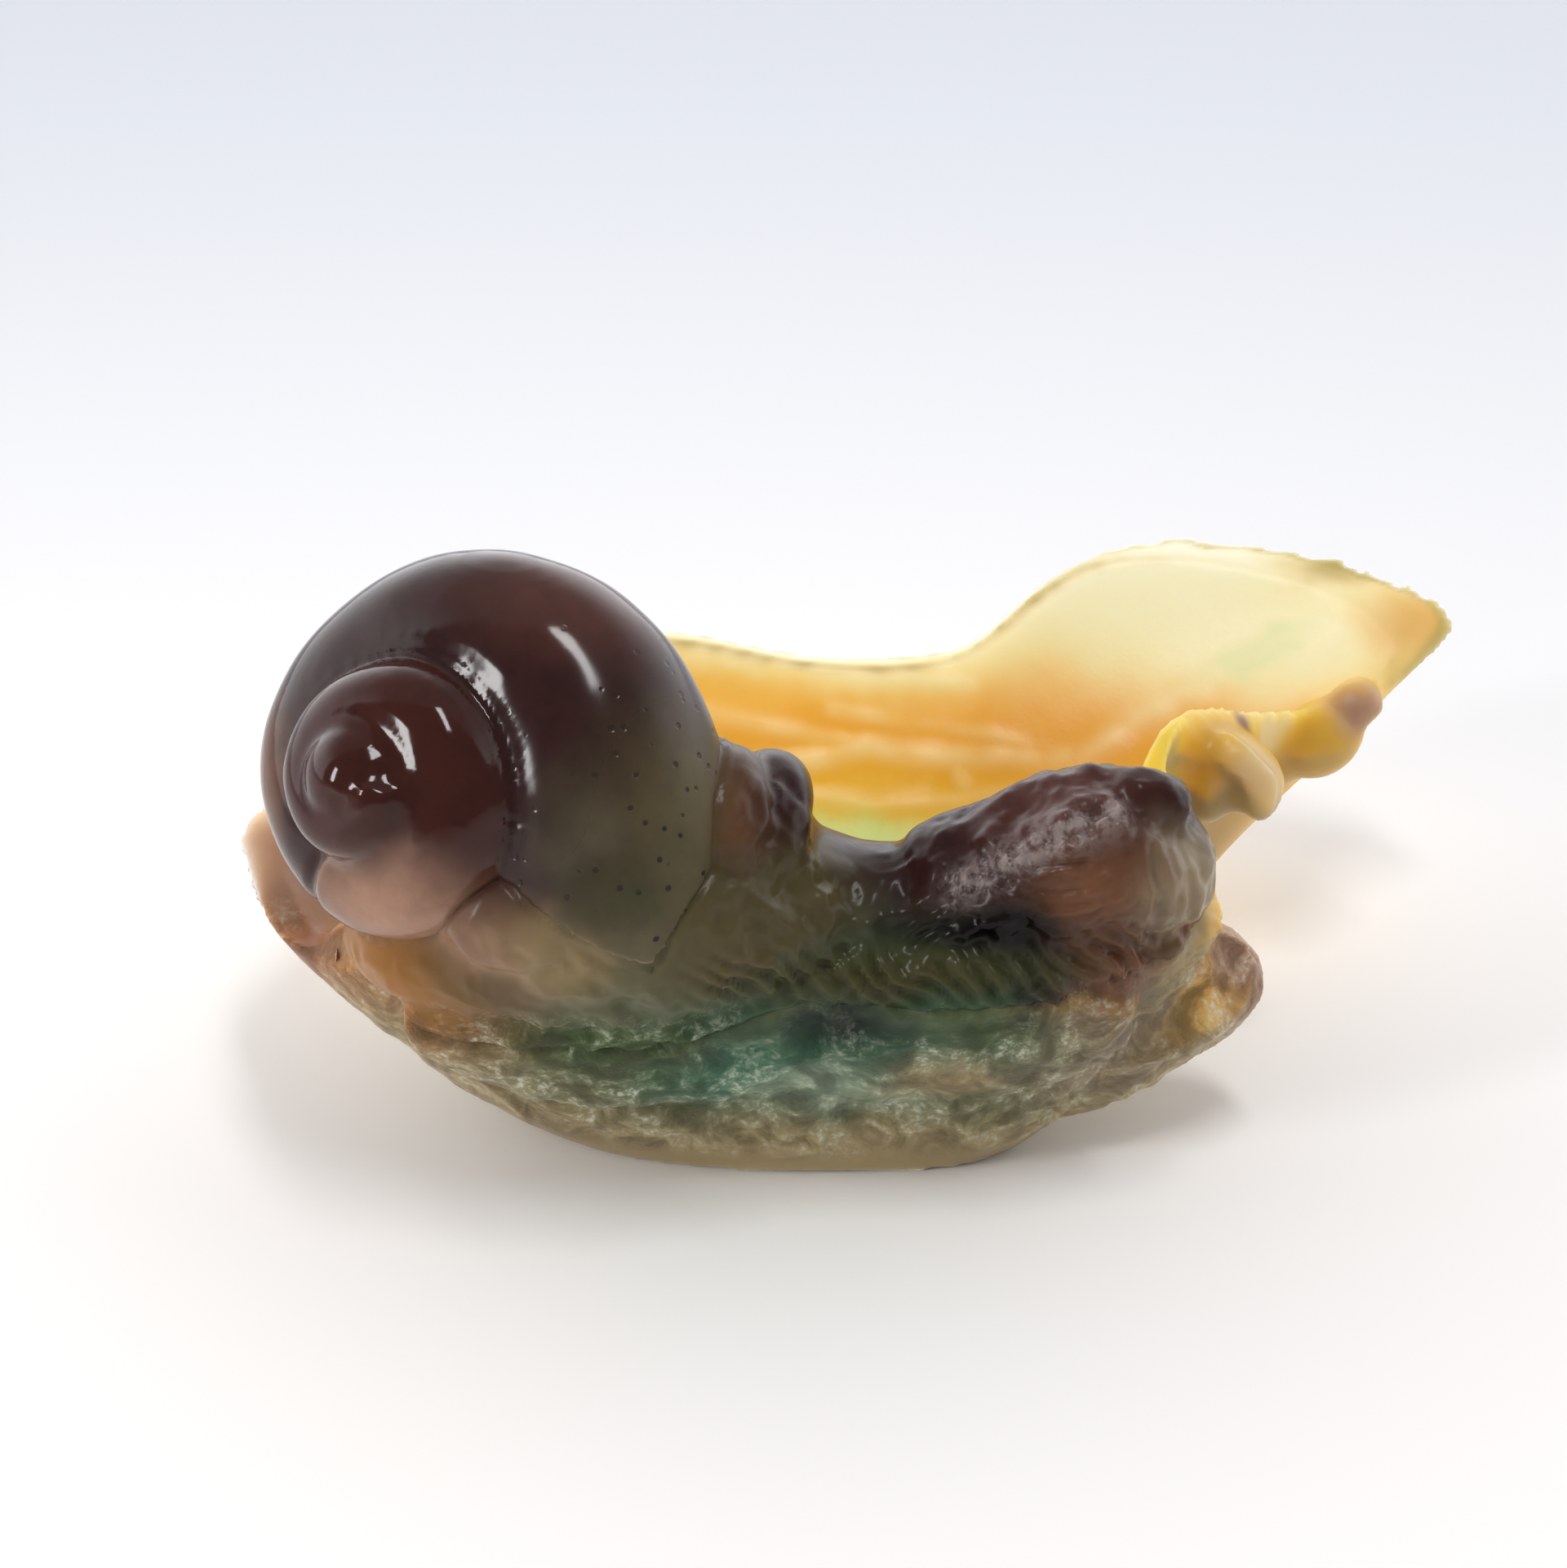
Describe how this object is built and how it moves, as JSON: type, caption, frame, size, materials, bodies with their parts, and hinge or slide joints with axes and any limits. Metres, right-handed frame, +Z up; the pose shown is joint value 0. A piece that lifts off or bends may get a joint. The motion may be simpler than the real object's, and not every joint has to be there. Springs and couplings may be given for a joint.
{
  "type": "leaf dish with snail",
  "caption": "Small cast-glass dish shaped as a curled leaf, with a snail crawling along its rim; it stands on a flat underside and holds rings or other small things.",
  "frame": {"origin": "centre of the ground flat under the dish, on the surface that it stands on", "axes": "+X the way the snail faces, along the near rim and the leaf's length; +Y from the snail across the dish to the far rim; +Z up"},
  "size_m": [0.1491, 0.0946, 0.0724],
  "materials": {
    "leaf_glass": "frosted cast glass, amber and green",
    "lobe_glass": "satin cast glass, pink-brown",
    "snail_glass": "satin cast glass, brown amethyst",
    "shell_glass": "polished cast glass, dark amethyst"
  },
  "bodies": {
    "root": {"leaf_dish": "leaf_glass", "leaf_front_lobe": "lobe_glass", "leaf_middle_lobe": "leaf_glass", "leaf_rear_lobe": "lobe_glass", "snail_foot": "snail_glass", "snail_neck": "snail_glass", "snail_head": "snail_glass", "snail_eye_stalks": "snail_glass", "mantle_collar": "snail_glass", "shell_body_whorl": "shell_glass", "shell_spire": "shell_glass", "shell_apex": "shell_glass"}
  },
  "joints": []
}
